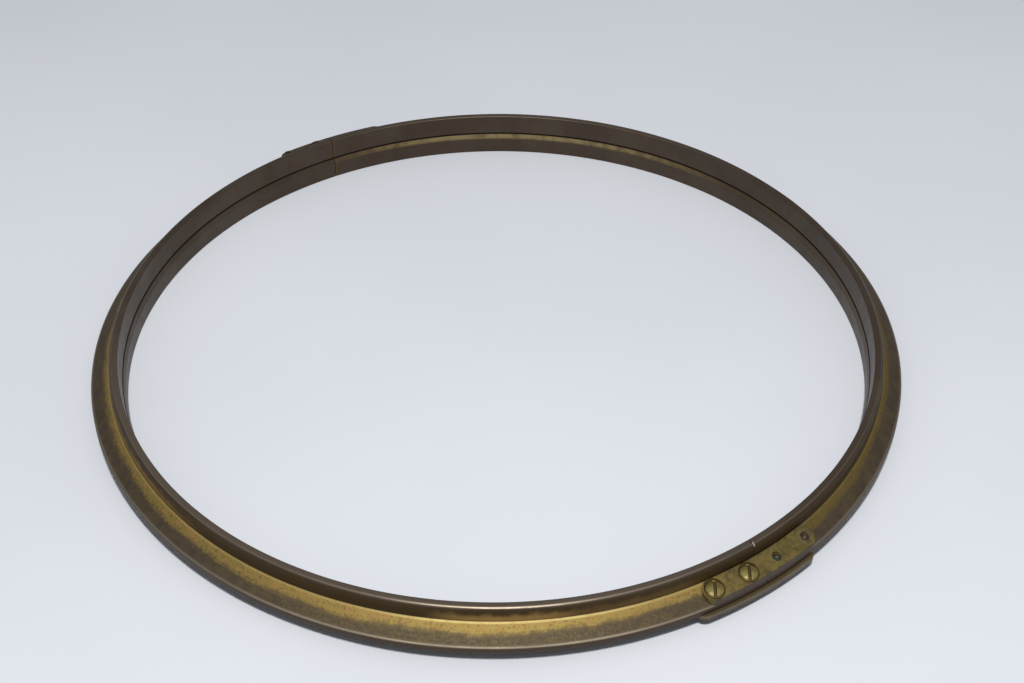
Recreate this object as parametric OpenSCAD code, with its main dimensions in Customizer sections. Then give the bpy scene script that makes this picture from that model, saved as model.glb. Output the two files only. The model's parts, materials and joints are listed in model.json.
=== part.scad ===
// Split ring of an opening porthole: two cast half rings, drawn together at two joints.
// Each joint has a wedge-shaped splice plate on the flange and a backing strap under it.
// Two rivets hold plate and strap to the right half; two slotted screws hold the left half.
//
// Frame: origin on the ring's axis, in the plane it stands on; +Z is up, away from that plane.
// Angles are measured anticlockwise from +X, seen from above; the front is towards -Y.

/* [Ring] */
// Diameter of the clear bore, at the lower band of the wall
bore_d = 382.6; // [340:0.2:420]
// Thickness of the upright wall at its foot
wall_t = 7; // [6:0.1:8]
// Overall height of the ring
ring_h = 23.8; // [23:0.1:26]
// Distance the flange reaches out from the wall
flange_w = 10.2; // [9.8:0.1:11]
// Depth of the spigot that stands below the flange
spigot_h = 7.2; // [7:0.1:7.6]
// Height of the lip's upper edge above the base
lip_top_z = 10.4; // [10:0.1:11]
// Height at which the sloping flange meets the wall
flange_root_z = 16.7; // [16:0.1:17]
// Height of the lower band inside the bore
lower_band_h = 8.8; // [7:0.1:9.5]

/* [Joints] */
// Direction of the front joint line
front_joint_a = 305.2; // [290:0.1:320]
// Direction of the rear joint line
rear_joint_a = 120; // [100:0.1:140]
// Direction of the middle of the front splice plate
front_splice_a = 305.4; // [290:0.1:320]
// Direction of the middle of the rear splice plate, drilled a little off its joint line
rear_splice_a = 118.9; // [100:0.1:140]
// Direction of the middle of the front backing strap
front_strap_a = 304.4; // [289.5:0.1:320.5]
// Direction of the middle of the rear backing strap
rear_strap_a = 118.9; // [99.5:0.1:140.5]
// Width of the open line between the two half rings
joint_gap = 0.3; // [0.1:0.05:0.6]

/* [Splice plates and straps] */
// Width of a splice plate, measured outward from the wall
plate_w = 9.9; // [9.9:0.1:10.4]
// Height of a splice plate's inner top edge above the base
plate_top_z = 17.8; // [17.6:0.1:18.2]
// Slope of the front splice plate's top, falling outward
plate_tilt = 21.5; // [20:0.5:22]
// Slope of the rear splice plate's top, which is a thicker wedge
rear_plate_tilt = 6.5; // [5:0.5:10]
// Thickness of a backing strap
strap_t = 2.4; // [2.2:0.05:2.8]
// Distance a backing strap stands out past the lip
strap_reach = 2; // [2:0.1:4]
// Length of a backing strap along the ring
strap_l = 68.4; // [67:0.1:70]

/* [Fasteners] */
// Distance along the plate from its middle to the two inner fasteners
inner_hole_off = 8.4; // [7.5:0.1:9]
// Distance along the plate from its middle to the two end fasteners
end_hole_off = 27.2; // [25:0.1:27.5]
// Diameter of a screw's raised countersunk head
screw_head_d = 9.7; // [9:0.1:9.8]
// Diameter of a screw's shank
screw_d = 5; // [4:0.1:5.2]
// Diameter of a rivet's shank
rivet_d = 4.2; // [3.6:0.1:4.4]
// Diameter of the end rivet's countersunk head
rivet_head_d = 8.8; // [8:0.1:9.2]

/* [Hidden] */
$fn = 96;

bronze = [0.36, 0.30, 0.24];
brass = [0.62, 0.52, 0.24];
bright_brass = [0.80, 0.69, 0.34];

// Radii of the ring
bore_r = bore_d / 2;
wall_r = bore_r + wall_t;
lip_r = wall_r + flange_w;

// Inner face: a sloping shoulder rises from the lower band to a slot under the upper band
slot_z = 12.1;
slot_h = 0.6;
slot_depth = 2.2;
shoulder_in = 0.9;
upper_band_in = 1.2;
wall_draft = 1;
edge_r = 0.8;
rim_round = 2.4;
foot_chamfer = 0.4;

// Bearing gap between faces that are clamped together; a plate spans the lip's rounding
seat_gap = 0.02;
plate_gap = 0.08;

// Splice plate: its end circles lie a little past the end fasteners
plate_inner_r = wall_r + 0.4;
plate_outer_r = plate_inner_r + plate_w;
plate_mid_r = plate_inner_r + plate_w / 2;
plate_end_over = 0.6;
plate_half_a = arc_angle(end_hole_off + plate_end_over, plate_mid_r);

// Backing strap
strap_inner_r = wall_r + 1.7;
strap_outer_r = lip_r + strap_reach;
strap_w = strap_outer_r - strap_inner_r;
strap_mid_r = strap_inner_r + strap_w / 2;
strap_half_a = arc_angle((strap_l - strap_w) / 2, strap_mid_r);
strap_base_z = spigot_h - strap_t;
strap_top_z = spigot_h - seat_gap;
strap_bevel = 0.4;

// Fasteners: +1 puts the screws anticlockwise of the joint, -1 clockwise
front_screw_side = -1;
rear_screw_side = 1;
fastener_r = 203.9;
fastener_tilt = 5;
shank_end_z = strap_base_z + 0.6;
bore_l = 2 * plate_top_z;
head_room = 3;
running_gap = 0.05;
rim_gap = 0.2;
head_rim_t = 0.25;
head_dome_h = 1.3;
screw_slot_w = 1.6;
screw_slot_depth = 1.8;
rivet_nub_d = 3;
rivet_recess_d = 4.7;
rivet_recess_depth = 0.9;
nub_root = 0.2;
dimple_d = 4;
dimple_depth = 0.7;
dimple_nub_d = 1.8;

function arc_angle(length, radius) = length / radius * 180 / PI;
function plate_slope(a) = a > 180 ? plate_tilt : rear_plate_tilt;
function plate_height(r, a) = plate_top_z - (r - plate_inner_r) * tan(plate_slope(a));
function shank_l(a) = (plate_height(fastener_r, a) - shank_end_z) / cos(fastener_tilt);
function flange_height(r) =
    flange_root_z - (r - wall_r) * (flange_root_z - lip_top_z) / flange_w;
function fastener_angle(splice_a, side, offset) =
    splice_a + side * arc_angle(offset, fastener_r);
function arc_points(centre, radius, from_a, to_a, steps) =
    [for (i = [0 : steps])
        let (a = from_a + (to_a - from_a) * i / steps)
        centre + radius * [cos(a), sin(a)]];

// The ring's section: radius, then height
module ring_section() {
    top_in_r = bore_r + upper_band_in + wall_draft;
    top_out_r = wall_r - 0.3;
    polygon(concat(
        [[bore_r + foot_chamfer, 0], [bore_r, foot_chamfer],
         [bore_r, lower_band_h], [bore_r + shoulder_in, slot_z],
         [bore_r + slot_depth, slot_z], [bore_r + slot_depth, slot_z + slot_h],
         [bore_r + upper_band_in, slot_z + slot_h]],
        arc_points([top_in_r + edge_r, ring_h - edge_r], edge_r, 180, 90, 6),
        arc_points([top_out_r - rim_round, ring_h - rim_round], rim_round, 90, 0, 8),
        [[wall_r, flange_root_z]],
        arc_points([lip_r - edge_r, lip_top_z - edge_r / 2], edge_r, 60, 0, 5),
        [[lip_r, spigot_h + foot_chamfer], [lip_r - foot_chamfer, spigot_h],
         [wall_r, spigot_h], [wall_r, foot_chamfer], [wall_r - foot_chamfer, 0]]));
}

// Turns its children's outline about the ring's axis from one angle to another
module turned(from_a, to_a) {
    rotate([0, 0, from_a])
        rotate_extrude(angle = to_a - from_a, $fn = 360)
            children();
}

// Puts its children where a fastener meets the splice plate's top, with +Z along its axis.
// The holes lean outward a little, less than either plate's top slopes, to stay clear of the wall.
module at_fastener(a) {
    rotate([0, 0, a])
        translate([fastener_r, 0, plate_height(fastener_r, a)])
            rotate([0, fastener_tilt, 0])
                children();
}

module fastener_bore(a, d) {
    at_fastener(a)
        translate([0, 0, -bore_l])
            cylinder(d = d, h = 2 * bore_l);
}

// The two screw bores and two rivet bores of one joint
module joint_bores(splice_a, screw_side) {
    for (offset = [inner_hole_off, end_hole_off]) {
        fastener_bore(fastener_angle(splice_a, screw_side, offset), screw_d + 2 * running_gap);
        fastener_bore(fastener_angle(splice_a, -screw_side, offset), rivet_d + 2 * seat_gap);
    }
}

// Right-angled conical seat with a straight rim that opens through the plate's top
module countersink(top_r, shank_r) {
    depth = head_rim_t + top_r - shank_r;
    translate([0, 0, -depth])
        cylinder(r1 = shank_r, r2 = top_r, h = top_r - shank_r);
    translate([0, 0, -head_rim_t])
        cylinder(r = top_r, h = head_rim_t + head_room);
}

// The countersinks of one joint, which go through the plate and just into the flange
module joint_countersinks(splice_a, screw_side) {
    for (offset = [inner_hole_off, end_hole_off])
        at_fastener(fastener_angle(splice_a, screw_side, offset))
            countersink(screw_head_d / 2 + rim_gap, screw_d / 2);
    at_fastener(fastener_angle(splice_a, -screw_side, end_hole_off))
        countersink(rivet_head_d / 2 + seat_gap, rivet_d / 2);
}

module half_ring(from_a, to_a) {
    end_a = arc_angle(joint_gap / 2, plate_mid_r);
    difference() {
        turned(from_a + end_a, to_a - end_a) ring_section();
        joint_bores(front_splice_a, front_screw_side);
        joint_bores(rear_splice_a, rear_screw_side);
        joint_countersinks(front_splice_a, front_screw_side);
        joint_countersinks(rear_splice_a, rear_screw_side);
    }
}

module left_half_ring() {
    color(bronze) half_ring(rear_joint_a, front_joint_a);
}

module right_half_ring() {
    color(bronze) half_ring(front_joint_a, rear_joint_a + 360);
}

// Outline of a bar that curves round the ring and has round ends, from above
module curved_bar(inner_r, outer_r, middle_a, half_a) {
    bar_w = outer_r - inner_r;
    rotate([0, 0, middle_a]) {
        difference() {
            circle(r = outer_r, $fn = 360);
            circle(r = inner_r, $fn = 360);
            for (side = [-1, 1])
                rotate([0, 0, side * half_a])
                    mirror([0, side > 0 ? 0 : 1])
                        translate([-2 * outer_r, 0])
                            square([4 * outer_r, 2 * outer_r]);
        }
        for (side = [-1, 1])
            rotate([0, 0, side * half_a])
                translate([inner_r + bar_w / 2, 0])
                    circle(d = bar_w);
    }
}

module splice_plate(splice_a, screw_side) {
    end_a = plate_half_a + arc_angle(plate_w, plate_mid_r);
    rim_z = flange_height(lip_r) + plate_gap;
    difference() {
        intersection() {
            linear_extrude(height = 2 * plate_top_z)
                curved_bar(plate_inner_r, plate_outer_r, splice_a, plate_half_a);
            turned(splice_a - end_a, splice_a + end_a)
                polygon([[wall_r, flange_height(wall_r) + plate_gap],
                         [wall_r, plate_height(wall_r, splice_a)],
                         [lip_r + 2, plate_height(lip_r + 2, splice_a)],
                         [lip_r + 2, rim_z],
                         [lip_r, rim_z]]);
        }
        joint_bores(splice_a, screw_side);
        joint_countersinks(splice_a, screw_side);
        at_fastener(fastener_angle(splice_a, -screw_side, inner_hole_off))
            translate([0, 0, -rivet_recess_depth])
                cylinder(d = rivet_recess_d, h = rivet_recess_depth + head_room);
    }
}

module front_splice_plate() {
    color(brass) splice_plate(front_splice_a, front_screw_side);
}

module rear_splice_plate() {
    color(brass) splice_plate(rear_splice_a, rear_screw_side);
}

module backing_strap(strap_a, splice_a, screw_side) {
    end_a = strap_half_a + arc_angle(strap_w, strap_mid_r);
    difference() {
        intersection() {
            linear_extrude(height = 2 * strap_top_z)
                curved_bar(strap_inner_r, strap_outer_r, strap_a, strap_half_a);
            turned(strap_a - end_a, strap_a + end_a)
                polygon([[strap_inner_r - 1, strap_base_z], [strap_inner_r - 1, strap_top_z],
                         [strap_outer_r + 1, strap_top_z],
                         [strap_outer_r + 1, strap_base_z + strap_bevel + 1],
                         [strap_outer_r - strap_bevel, strap_base_z]]);
        }
        joint_bores(splice_a, screw_side);
    }
}

module front_backing_strap() {
    color(bronze) backing_strap(front_strap_a, front_splice_a, front_screw_side);
}

module rear_backing_strap() {
    color(bronze) backing_strap(rear_strap_a, rear_splice_a, rear_screw_side);
}

// Raised countersunk slotted screw; slot_a turns the slot about the screw's own axis
module screw(a, slot_a) {
    head_r = screw_head_d / 2;
    cone_h = head_r - screw_d / 2;
    dome_r = (head_r * head_r + head_dome_h * head_dome_h) / (2 * head_dome_h);
    at_fastener(a)
        rotate([0, 0, slot_a])
            difference() {
                union() {
                    translate([0, 0, -shank_l(a)])
                        cylinder(d1 = screw_d - 2 * foot_chamfer, d2 = screw_d, h = foot_chamfer);
                    translate([0, 0, foot_chamfer - shank_l(a)])
                        cylinder(d = screw_d, h = shank_l(a) - foot_chamfer);
                    translate([0, 0, -head_rim_t - cone_h])
                        cylinder(r1 = screw_d / 2, r2 = head_r, h = cone_h);
                    intersection() {
                        translate([0, 0, -head_rim_t])
                            cylinder(r = head_r, h = head_rim_t + head_dome_h);
                        translate([0, 0, head_dome_h - dome_r]) sphere(r = dome_r);
                    }
                }
                translate([0, 0, head_dome_h])
                    cube([screw_head_d + 1, screw_slot_w, 2 * screw_slot_depth], center = true);
            }
}

module front_end_screw() {
    a = fastener_angle(front_splice_a, front_screw_side, end_hole_off);
    color(bright_brass) screw(a, 90 - a);
}

module front_inner_screw() {
    a = fastener_angle(front_splice_a, front_screw_side, inner_hole_off);
    color(bright_brass) screw(a, 90 - a);
}

module rear_end_screw() {
    color(bright_brass)
        screw(fastener_angle(rear_splice_a, rear_screw_side, end_hole_off), 25);
}

module rear_inner_screw() {
    color(bright_brass)
        screw(fastener_angle(rear_splice_a, rear_screw_side, inner_hole_off), 70);
}

// End rivet: countersunk head filed flush with the plate, with a punched dimple at its centre
module end_rivet(a) {
    cone_h = (rivet_head_d - rivet_d) / 2;
    difference() {
        intersection() {
            at_fastener(a) {
                translate([0, 0, -shank_l(a)]) cylinder(d = rivet_d, h = shank_l(a));
                translate([0, 0, -head_rim_t - cone_h])
                    cylinder(d1 = rivet_d, d2 = rivet_head_d, h = cone_h);
                translate([0, 0, -head_rim_t])
                    cylinder(d = rivet_head_d, h = head_rim_t + head_room);
            }
            turned(a - 2, a + 2)
                polygon([[wall_r, 0], [wall_r, plate_height(wall_r, a)],
                         [lip_r + 2, plate_height(lip_r + 2, a)], [lip_r + 2, 0]]);
        }
        at_fastener(a)
            translate([0, 0, -dimple_depth]) cylinder(d = dimple_d, h = head_room);
    }
    at_fastener(a)
        translate([0, 0, -2 * dimple_depth])
            cylinder(d1 = dimple_nub_d + 1, d2 = dimple_nub_d, h = 1.6 * dimple_depth);
}

// Inner rivet: plain pin set below the plate's top, with a tapered end
module inner_rivet(a) {
    at_fastener(a) {
        translate([0, 0, -shank_l(a)])
            cylinder(d = rivet_d, h = shank_l(a) - rivet_recess_depth);
        translate([0, 0, -rivet_recess_depth - nub_root])
            cylinder(d1 = rivet_d - 0.2, d2 = rivet_nub_d, h = rivet_recess_depth / 2 + nub_root);
    }
}

module front_end_rivet() {
    color(brass) end_rivet(fastener_angle(front_splice_a, -front_screw_side, end_hole_off));
}

module front_inner_rivet() {
    color(brass) inner_rivet(fastener_angle(front_splice_a, -front_screw_side, inner_hole_off));
}

module rear_end_rivet() {
    color(brass) end_rivet(fastener_angle(rear_splice_a, -rear_screw_side, end_hole_off));
}

module rear_inner_rivet() {
    color(brass) inner_rivet(fastener_angle(rear_splice_a, -rear_screw_side, inner_hole_off));
}

left_half_ring();
right_half_ring();
front_splice_plate();
rear_splice_plate();
front_backing_strap();
rear_backing_strap();
front_end_screw();
front_inner_screw();
rear_end_screw();
rear_inner_screw();
front_end_rivet();
front_inner_rivet();
rear_end_rivet();
rear_inner_rivet();
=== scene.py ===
import json
import math

import bmesh
import bpy
import numpy as np
from mathutils import Matrix, Quaternion, Vector, noise
from mathutils.geometry import delaunay_2d_cdt


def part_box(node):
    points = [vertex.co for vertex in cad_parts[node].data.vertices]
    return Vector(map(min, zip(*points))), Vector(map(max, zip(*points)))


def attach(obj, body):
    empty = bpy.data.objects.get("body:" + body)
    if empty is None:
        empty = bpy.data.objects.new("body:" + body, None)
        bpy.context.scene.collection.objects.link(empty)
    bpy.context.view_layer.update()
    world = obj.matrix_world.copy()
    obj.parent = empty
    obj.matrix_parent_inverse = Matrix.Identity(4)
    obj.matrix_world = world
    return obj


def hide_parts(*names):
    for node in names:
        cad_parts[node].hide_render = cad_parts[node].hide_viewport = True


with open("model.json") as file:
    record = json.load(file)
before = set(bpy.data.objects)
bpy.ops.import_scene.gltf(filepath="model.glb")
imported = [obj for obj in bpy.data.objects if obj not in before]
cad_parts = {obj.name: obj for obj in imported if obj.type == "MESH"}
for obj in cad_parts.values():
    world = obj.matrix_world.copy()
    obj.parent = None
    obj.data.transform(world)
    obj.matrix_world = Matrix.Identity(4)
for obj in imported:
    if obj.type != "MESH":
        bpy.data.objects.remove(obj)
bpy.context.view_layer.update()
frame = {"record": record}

MM = 0.001
MOUNTS = {mount["name"]: mount for mount in frame["record"]["mounts"]}

# Ring: radii and heights of its section
BORE_R = MOUNTS["clear_bore"]["dims"]["r_mm"] * MM
WALL_R = MOUNTS["spigot"]["dims"]["r_mm"] * MM
LIP_R = -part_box("left_half_ring")[0].x
SPIGOT_H = 7.2 * MM
RING_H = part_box("left_half_ring")[1].z
LIP_TOP_Z = 10.4 * MM
FLANGE_ROOT_Z = 16.7 * MM
LOWER_BAND_H = 8.8 * MM
SLOT_Z = 12.1 * MM
SLOT_H = 0.6 * MM
SLOT_DEPTH = 2.2 * MM
SHOULDER_IN = 0.9 * MM
UPPER_BAND_IN = 1.2 * MM
WALL_DRAFT = 1.0 * MM
TOP_OUT = 0.3 * MM
RIM_ROUND = 2.4 * MM

# Joints: directions in degrees, anticlockwise from +X
FRONT_JOINT_A = 305.2
REAR_JOINT_A = 120.0
SPLICE_A = {"front": 305.4, "rear": 118.9}
STRAP_A = {"front": 304.4, "rear": 118.9}
JOINT_GAP = 0.3 * MM

# Splice plates and backing straps
PLATE_TILT = math.radians(21.5)
REAR_PLATE_TILT = math.radians(6.5)
PLATE_INNER_R = WALL_R + 0.4 * MM
PLATE_W = 9.9 * MM
PLATE_OUTER_R = PLATE_INNER_R + PLATE_W
PLATE_MID_R = PLATE_INNER_R + PLATE_W / 2
PLATE_TOP_Z = 17.8 * MM
PLATE_END_OVER = 0.6 * MM
PLATE_EDGE_R = 0.45 * MM
STRAP_T = 2.4 * MM
STRAP_BASE_Z = SPIGOT_H - STRAP_T
STRAP_INNER_R = WALL_R + 1.7 * MM
STRAP_OUTER_R = LIP_R + 2 * MM
STRAP_L = 68.4 * MM
STRAP_EDGE_R = 0.45 * MM
SEAT_GAP = 0.02 * MM
PLATE_GAP = 0.08 * MM

# Fasteners
FASTENER_R = 203.9 * MM
FASTENER_TILT = math.radians(5)
INNER_OFFSET = 8.4 * MM
END_OFFSET = 27.2 * MM
SCREW_SIDE = {"front": -1, "rear": 1}
SCREW_HEAD_R = 4.85 * MM
SCREW_R = 2.5 * MM
SCREW_BORE_R = 2.55 * MM
SCREW_RIM_GAP = 0.2 * MM
SCREW_SLOT_W = 1.6 * MM
SCREW_SLOT_DEPTH = 1.8 * MM
HEAD_RIM_T = 0.25 * MM
HEAD_DOME_H = 1.3 * MM
HEAD_ROOM = 3.0 * MM
RIVET_R = 2.1 * MM
RIVET_BORE_R = 2.12 * MM
RIVET_HEAD_R = 4.4 * MM
RIVET_RECESS_R = 2.35 * MM
RIVET_RECESS_DEPTH = 0.9 * MM
RIVET_TIP_Z = -0.45 * MM
SHANK_CHAMFER = 0.4 * MM
RIVET_CHAMFER = 0.3 * MM
SHANK_END_Z = STRAP_BASE_Z + 0.6 * MM
# Slots of the rear screws, turned from the direction away from the ring's axis
REAR_SLOT_A = {"rear_end_screw": 25, "rear_inner_screw": 70}


# ---------------------------------------------------------------- outlines and places

def arc_angle(length, radius):
    """Angle in degrees that a length takes along a circle."""
    return math.degrees(length / radius)


def polar(radius, angle, height):
    """Point at an angle in degrees round the ring's axis."""
    a = math.radians(angle)
    return (radius * math.cos(a), radius * math.sin(a), height)


def plate_height(radius, angle):
    """Top of the splice plate that lies round an angle; the rear one is a thicker wedge."""
    tilt = PLATE_TILT if angle > 180 else REAR_PLATE_TILT
    return PLATE_TOP_Z - (radius - PLATE_INNER_R) * math.tan(tilt)


def flange_height(radius):
    slope = (FLANGE_ROOT_Z - LIP_TOP_Z) / (LIP_R - WALL_R)
    return FLANGE_ROOT_Z - (radius - WALL_R) * slope


def fastener_angle(end, side, offset):
    return SPLICE_A[end] + side * arc_angle(offset, FASTENER_R)


def fastener_place(angle):
    """Frame of a fastener: origin on the plate's top, +Z up its axis, +X outward."""
    turn = Matrix.Rotation(math.radians(angle), 4, "Z")
    lean = Matrix.Rotation(FASTENER_TILT, 4, "Y")
    shift = Matrix.Translation((FASTENER_R, 0, plate_height(FASTENER_R, angle)))
    return turn @ shift @ lean


def shank_length(angle):
    """From the plate's top to the end of the shank of the fastener at an angle."""
    return (plate_height(FASTENER_R, angle) - SHANK_END_Z) / math.cos(FASTENER_TILT)


def rounded(corners, steps=5):
    """Closed outline through (x, y, radius) corners, each turned by an arc of its radius."""
    points = []
    count = len(corners)
    for i, (x, y, radius) in enumerate(corners):
        here = np.array((x, y))
        back = np.array(corners[i - 1][:2]) - here
        ahead = np.array(corners[(i + 1) % count][:2]) - here
        back /= np.linalg.norm(back)
        ahead /= np.linalg.norm(ahead)
        half = math.acos(np.clip(back @ ahead, -1, 1)) / 2
        if radius == 0 or half > math.radians(89):
            points.append(here)
            continue
        middle = (back + ahead) / np.linalg.norm(back + ahead)
        centre = here + middle * radius / math.sin(half)
        start = here + back * radius / math.tan(half) - centre
        end = here + ahead * radius / math.tan(half) - centre
        for t in np.linspace(0, 1, steps + 1):
            spoke = start * (1 - t) + end * t
            points.append(centre + spoke * radius / np.linalg.norm(spoke))
    return points


def spaced(points, gap):
    """The closed outline with points added so that no side is longer than gap."""
    result = []
    for i, here in enumerate(points):
        ahead = points[(i + 1) % len(points)]
        parts = max(1, math.ceil(np.linalg.norm(ahead - here) / gap))
        for k in range(parts):
            result.append(here + (ahead - here) * k / parts)
    return result


def drawn_in(points, distance):
    """The closed anticlockwise outline, inward by a distance that is small beside its arcs."""
    points = np.array(points)
    along = np.roll(points, -1, 0) - np.roll(points, 1, 0)
    along /= np.linalg.norm(along, axis=1)[:, None]
    inward = np.stack([-along[:, 1], along[:, 0]], 1)
    return points + inward * distance


# ---------------------------------------------------------------- mesh building

class Shell:
    """Collects points and faces of one closed mesh."""

    def __init__(self):
        self.points = []
        self.faces = []

    def ring(self, points):
        first = len(self.points)
        self.points.extend(tuple(p) for p in points)
        return list(range(first, len(self.points)))

    def band(self, a, b):
        """Quads between two closed rings of the same length."""
        for i in range(len(a)):
            j = (i + 1) % len(a)
            self.faces.append((a[i], a[j], b[j], b[i]))

    def fill(self, ring, height, gap, flip=False):
        """Even triangles inside a ring, at height(radius)."""
        border = np.array([self.points[i][:2] for i in ring])
        inner = inside_grid(border, gap)
        known = ring + self.ring((x, y, height(math.hypot(x, y))) for x, y in inner)
        plan = [Vector(p) for p in np.concatenate([border, inner])]
        edges = [(i, (i + 1) % len(ring)) for i in range(len(ring))]
        triangles = delaunay_2d_cdt(plan, edges, [], 0, 1e-9, False)[2]
        corners = np.array([[plan[i] for i in triangle] for triangle in triangles])
        wanted = inside(border, corners.mean(1))
        for triangle, keep in zip(triangles, wanted):
            if keep:
                ids = tuple(known[i] for i in triangle)
                self.faces.append(tuple(reversed(ids)) if flip else ids)

    def mesh(self, name):
        data = bpy.data.meshes.new(name)
        data.from_pydata(self.points, [], self.faces)
        work = bmesh.new()
        work.from_mesh(data)
        bmesh.ops.remove_doubles(work, verts=work.verts, dist=1e-7)
        bmesh.ops.recalc_face_normals(work, faces=work.faces)
        work.to_mesh(data)
        work.free()
        return data


def inside(ring, points):
    """Which of the points lie inside the closed ring, both as arrays of x and y."""
    x, y = points[:, 0, None], points[:, 1, None]
    x0, y0 = ring[:, 0], ring[:, 1]
    x1, y1 = np.roll(x0, -1), np.roll(y0, -1)
    crosses = (y0 > y) != (y1 > y)
    rise = np.where(y1 == y0, 1, y1 - y0)
    return (crosses & (x < x0 + (y - y0) * (x1 - x0) / rise)).sum(1) % 2 == 1


def inside_grid(border, gap):
    """Points of a staggered grid inside the closed border, and clear of it."""
    low, high = border.min(0), border.max(0)
    xs = np.arange(low[0], high[0], gap)
    ys = np.arange(low[1], high[1], gap)
    grid = np.array([(x + gap / 2 * (j % 2), y) for j, y in enumerate(ys) for x in xs])
    grid = grid[inside(border, grid)]
    distance = np.sqrt(((grid[:, None] - border[None]) ** 2).sum(2)).min(1)
    return grid[distance > 0.55 * gap]


def new_object(name, data, place=None):
    piece = bpy.data.objects.new(name, data)
    bpy.context.scene.collection.objects.link(piece)
    if place is not None:
        piece.matrix_world = place
    return piece


def bake_modifiers(piece):
    """Turns the piece's modifiers into its mesh."""
    bpy.context.view_layer.update()
    seen = piece.evaluated_get(bpy.context.evaluated_depsgraph_get())
    data = bpy.data.meshes.new_from_object(seen)
    old = piece.data
    piece.modifiers.clear()
    piece.data = data
    bpy.data.meshes.remove(old)


def cut(piece, cutters):
    """Takes the cutters away from the piece, and deletes them."""
    for cutter in cutters:
        modifier = piece.modifiers.new("cut", "BOOLEAN")
        modifier.operation = "DIFFERENCE"
        modifier.solver = "EXACT"
        modifier.object = cutter
    bake_modifiers(piece)
    for cutter in cutters:
        data = cutter.data
        bpy.data.objects.remove(cutter)
        bpy.data.meshes.remove(data)


def shade(piece, degrees):
    """Smooth faces, with a hard line wherever two of them meet at more than the angle."""
    piece.data.polygons.foreach_set("use_smooth", [True] * len(piece.data.polygons))
    piece.data.set_sharp_from_angle(angle=math.radians(degrees))


def lathe(name, profile, sides, place=None):
    """Solid turned about +Z from an open (radius, height) profile, on the axis at both ends."""
    shell = Shell()
    rings = []
    for radius, height in profile[1:-1]:
        angles = np.linspace(0, 360, sides, endpoint=False)
        rings.append(shell.ring(polar(radius, a, height) for a in angles))
    for lower, upper in zip(rings, rings[1:]):
        shell.band(lower, upper)
    for tip, ring in ((profile[0], rings[0]), (profile[-1], rings[-1])):
        centre = shell.ring([(0, 0, tip[1])])[0]
        for i in range(sides):
            shell.faces.append((ring[i], ring[(i + 1) % sides], centre))
    return new_object(name, shell.mesh(name), place)


# ---------------------------------------------------------------- the two half rings

RING_STEP = 0.36
END_CHAMFER = 0.22 * MM


def ring_section():
    """Section of the ring as (radius, height), anticlockwise, with worn-soft corners."""
    top_in = BORE_R + UPPER_BAND_IN + WALL_DRAFT
    corners = [
        (BORE_R, 0, 0.45 * MM),
        (WALL_R, 0, 0.4 * MM),
        (WALL_R, SPIGOT_H, 0.12 * MM),
        (LIP_R, SPIGOT_H, 0.45 * MM),
        (LIP_R, LIP_TOP_Z - 0.1 * MM, 0.85 * MM),
        (WALL_R, FLANGE_ROOT_Z, 0.18 * MM),
        (WALL_R - TOP_OUT, RING_H, RIM_ROUND),
        (top_in, RING_H, 0.8 * MM),
        (BORE_R + UPPER_BAND_IN, SLOT_Z + SLOT_H, 0.3 * MM),
        (BORE_R + SLOT_DEPTH, SLOT_Z + SLOT_H, 0.1 * MM),
        (BORE_R + SLOT_DEPTH, SLOT_Z, 0.1 * MM),
        (BORE_R + SHOULDER_IN, SLOT_Z, 0.35 * MM),
        (BORE_R, LOWER_BAND_H, 1.5 * MM),
    ]
    return spaced(rounded(corners, 7), 1.5 * MM)


def worn(point, angle):
    """A section point moved a few hundredths of a millimetre, as files and polish leave it."""
    radius, height = point
    where = Vector(polar(radius * 60, angle, height * 160))
    slow = noise.noise(Vector(polar(7, angle, height * 40))) * 0.05 * MM
    fine = noise.noise(where) * 0.025 * MM
    return radius + slow + fine, height


def half_ring(name, start, stop):
    """Ring section carried round from one angle to another, with holes for the fasteners."""
    clearance = arc_angle(JOINT_GAP / 2, PLATE_MID_R)
    start += clearance
    stop -= clearance
    section = ring_section()
    chamfered = drawn_in(section, END_CHAMFER)
    bevel_a = arc_angle(END_CHAMFER, PLATE_MID_R)
    steps = round((stop - start) / RING_STEP)
    angles = np.linspace(start + bevel_a, stop - bevel_a, steps + 1)
    shell = Shell()
    rings = [shell.ring(polar(r, start, z) for r, z in chamfered)]
    for angle in angles:
        moved = [worn(point, angle) for point in section]
        rings.append(shell.ring(polar(r, angle, z) for r, z in moved))
    rings.append(shell.ring(polar(r, stop, z) for r, z in chamfered))
    for a, b in zip(rings, rings[1:]):
        shell.band(a, b)
    shell.faces.append(tuple(rings[0]))
    shell.faces.append(tuple(reversed(rings[-1])))
    piece = new_object(name, shell.mesh(name))
    cut(piece, hole_cutters("front") + hole_cutters("rear"))
    shade(piece, 32)
    return piece


def joint_fasteners(end):
    """(angle, kind) of the four fasteners of one joint."""
    side = SCREW_SIDE[end]
    return [
        (fastener_angle(end, side, END_OFFSET), "end_screw"),
        (fastener_angle(end, side, INNER_OFFSET), "inner_screw"),
        (fastener_angle(end, -side, INNER_OFFSET), "inner_rivet"),
        (fastener_angle(end, -side, END_OFFSET), "end_rivet"),
    ]


def hole_profile(kind):
    """Outline of the hole that a fastener sits in, from below up."""
    if kind == "inner_rivet":
        bore, seat = RIVET_BORE_R, RIVET_RECESS_R
        floor = rim = RIVET_RECESS_DEPTH
    else:
        screw_hole = kind.endswith("screw")
        bore = SCREW_BORE_R if screw_hole else RIVET_BORE_R
        seat = SCREW_HEAD_R + SCREW_RIM_GAP if screw_hole else RIVET_HEAD_R + SEAT_GAP
        rim = HEAD_RIM_T
        floor = rim + seat - bore
    return [(0, -PLATE_TOP_Z), (bore, -PLATE_TOP_Z), (bore, -floor), (seat, -rim),
            (seat, HEAD_ROOM), (0, HEAD_ROOM)]


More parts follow.
